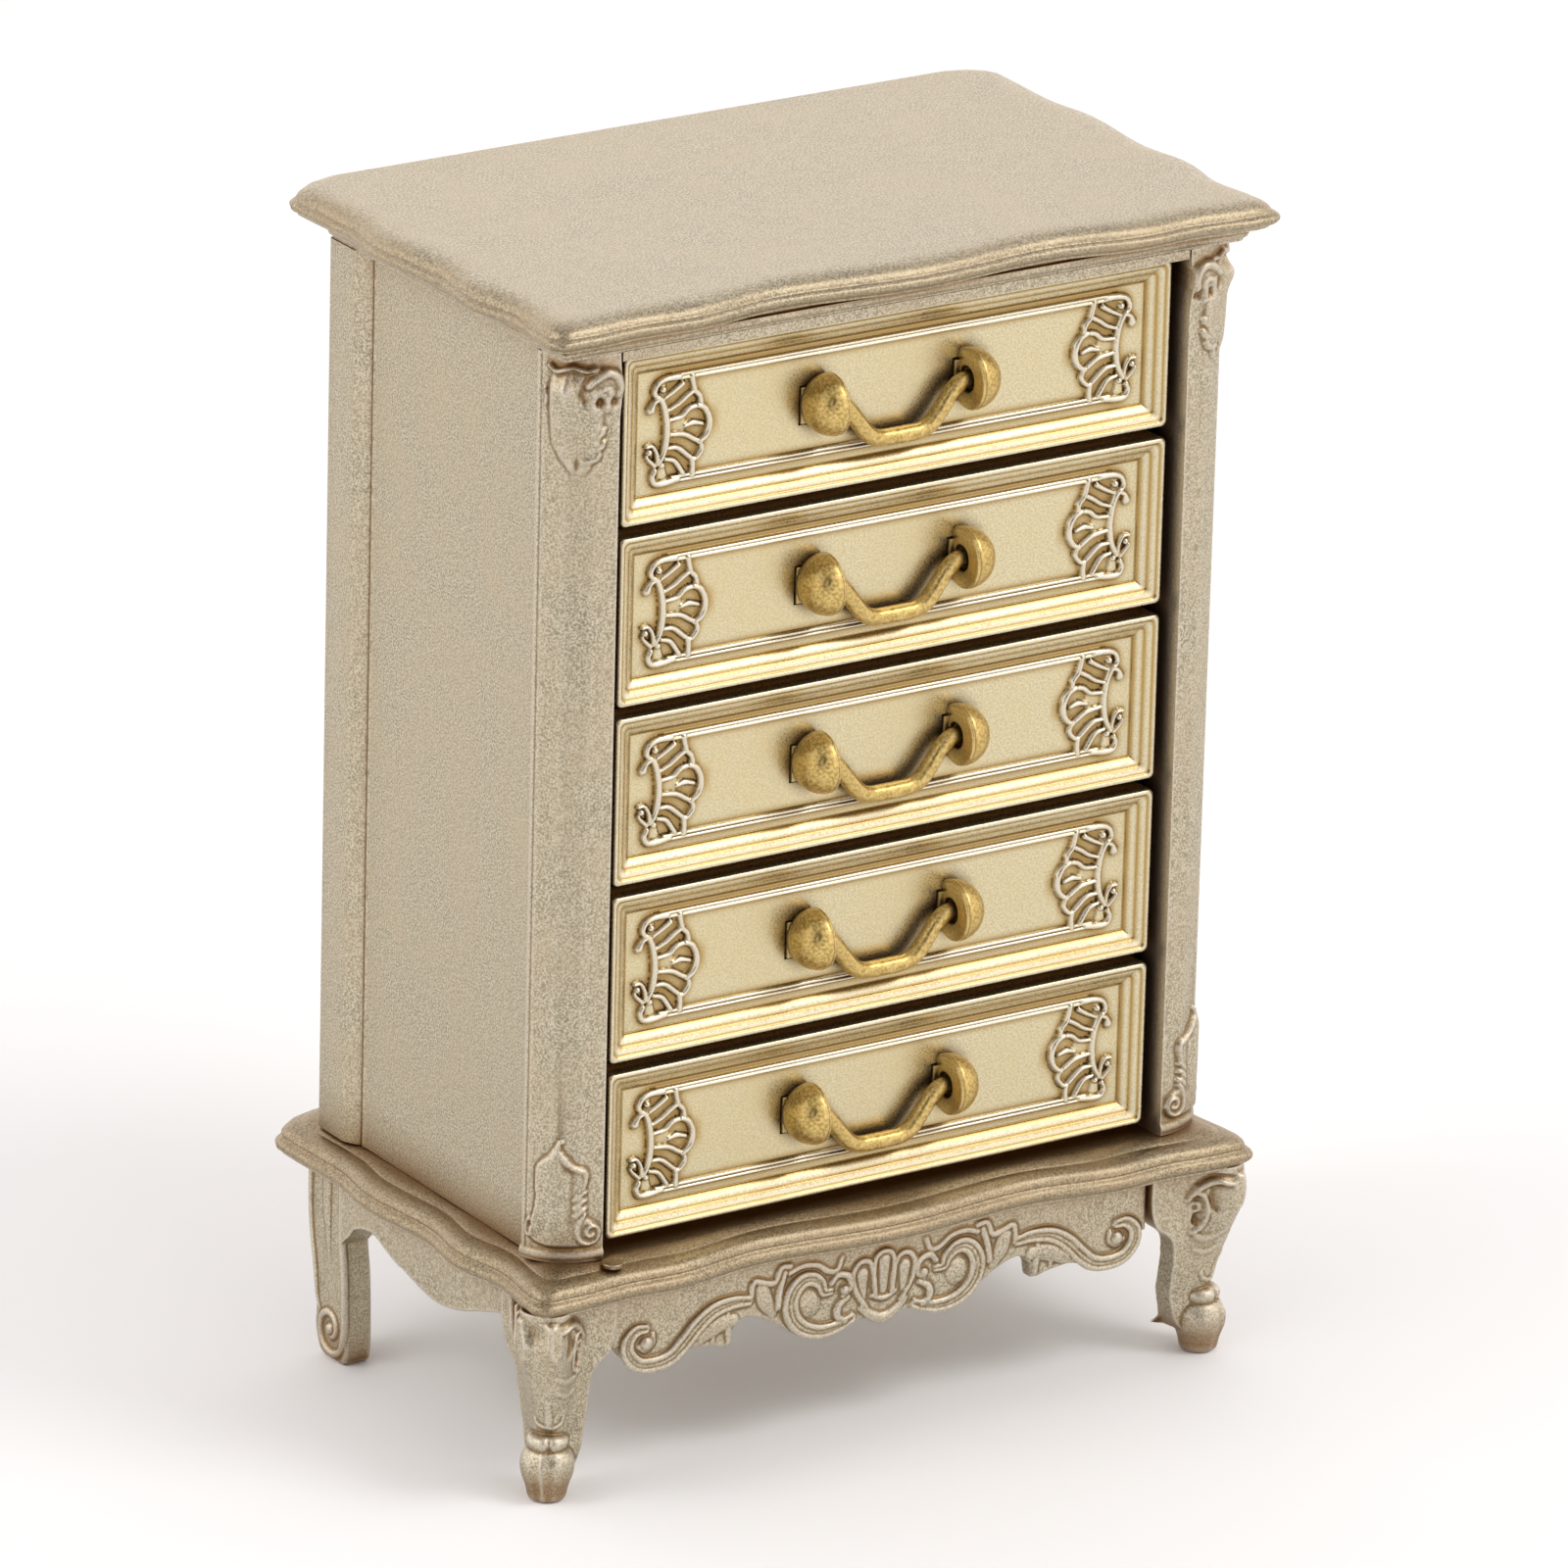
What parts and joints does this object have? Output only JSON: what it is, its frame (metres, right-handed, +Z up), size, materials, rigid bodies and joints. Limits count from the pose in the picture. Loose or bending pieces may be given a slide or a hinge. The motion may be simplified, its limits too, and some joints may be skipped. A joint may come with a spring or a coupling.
{
  "type": "miniature chest of drawers",
  "caption": "Dolls-house chest of drawers with serpentine boards, carved cabriole legs, canted posts, ornamented sliding drawers and swinging bail handles.",
  "frame": {"origin": "on the floor, under the middle of the chest's outer box", "axes": "+Z up, drawers face -Y and slide out along -Y, +X to the right of someone who looks at the drawers"},
  "size_m": [0.0788, 0.0492, 0.1124],
  "materials": {
    "carcass_paint": "satin metallic champagne-silver paint with fine flake",
    "drawer_paint": "satin pale gold metallic paint, ochre wash in the recesses, bright raised edges",
    "drawer_box": "satin metallic champagne paint",
    "handle_brass": "satin antique brass"
  },
  "bodies": {
    "carcass": {"top_board": "carcass_paint", "frieze_board": "carcass_paint", "left_side_panel": "carcass_paint", "right_side_panel": "carcass_paint", "back_panel": "carcass_paint", "front_left_post": "carcass_paint", "front_right_post": "carcass_paint", "divider_1": "carcass_paint", "divider_2": "carcass_paint", "divider_3": "carcass_paint", "divider_4": "carcass_paint", "base_board": "carcass_paint", "front_apron": "carcass_paint", "left_apron": "carcass_paint", "right_apron": "carcass_paint", "back_apron": "carcass_paint", "leg_front_left": "carcass_paint", "leg_front_right": "carcass_paint", "leg_back_left": "carcass_paint", "leg_back_right": "carcass_paint", "bottom_board": "carcass_paint"},
    "drawer_1": {"drawer_front_1": "drawer_paint", "drawer_tray_1": "drawer_box", "knob_left_1": "handle_brass", "knob_right_1": "handle_brass"},
    "handle_1": {"bail_1": "handle_brass"},
    "drawer_2": {"drawer_front_2": "drawer_paint", "drawer_tray_2": "drawer_box", "knob_left_2": "handle_brass", "knob_right_2": "handle_brass"},
    "handle_2": {"bail_2": "handle_brass"},
    "drawer_3": {"drawer_front_3": "drawer_paint", "drawer_tray_3": "drawer_box", "knob_left_3": "handle_brass", "knob_right_3": "handle_brass"},
    "handle_3": {"bail_3": "handle_brass"},
    "drawer_4": {"drawer_front_4": "drawer_paint", "drawer_tray_4": "drawer_box", "knob_left_4": "handle_brass", "knob_right_4": "handle_brass"},
    "handle_4": {"bail_4": "handle_brass"},
    "drawer_5": {"drawer_front_5": "drawer_paint", "drawer_tray_5": "drawer_box", "knob_left_5": "handle_brass", "knob_right_5": "handle_brass"},
    "handle_5": {"bail_5": "handle_brass"}
  },
  "joints": [
    {"name": "drawer_1_slide", "type": "slide", "parent": "carcass", "child": "drawer_1", "axis": [0, -1, 0], "range_m": [0, 0.026]},
    {"name": "drawer_2_slide", "type": "slide", "parent": "carcass", "child": "drawer_2", "axis": [0, -1, 0], "range_m": [0, 0.026]},
    {"name": "drawer_3_slide", "type": "slide", "parent": "carcass", "child": "drawer_3", "axis": [0, -1, 0], "range_m": [0, 0.026]},
    {"name": "drawer_4_slide", "type": "slide", "parent": "carcass", "child": "drawer_4", "axis": [0, -1, 0], "range_m": [0, 0.026]},
    {"name": "drawer_5_slide", "type": "slide", "parent": "carcass", "child": "drawer_5", "axis": [0, -1, 0], "range_m": [0, 0.026]},
    {"name": "bail_1_swing", "type": "hinge", "parent": "drawer_1", "child": "handle_1", "pos_m": [0, -0.01985, 0.09953], "axis": [-1, 0, 0], "range_deg": [0, 180]},
    {"name": "bail_2_swing", "type": "hinge", "parent": "drawer_2", "child": "handle_2", "pos_m": [0, -0.01985, 0.08253], "axis": [-1, 0, 0], "range_deg": [0, 180]},
    {"name": "bail_3_swing", "type": "hinge", "parent": "drawer_3", "child": "handle_3", "pos_m": [0, -0.01985, 0.06552], "axis": [-1, 0, 0], "range_deg": [0, 180]},
    {"name": "bail_4_swing", "type": "hinge", "parent": "drawer_4", "child": "handle_4", "pos_m": [0, -0.01985, 0.04852], "axis": [-1, 0, 0], "range_deg": [0, 180]},
    {"name": "bail_5_swing", "type": "hinge", "parent": "drawer_5", "child": "handle_5", "pos_m": [0, -0.01985, 0.03152], "axis": [-1, 0, 0], "range_deg": [0, 180]}
  ]
}
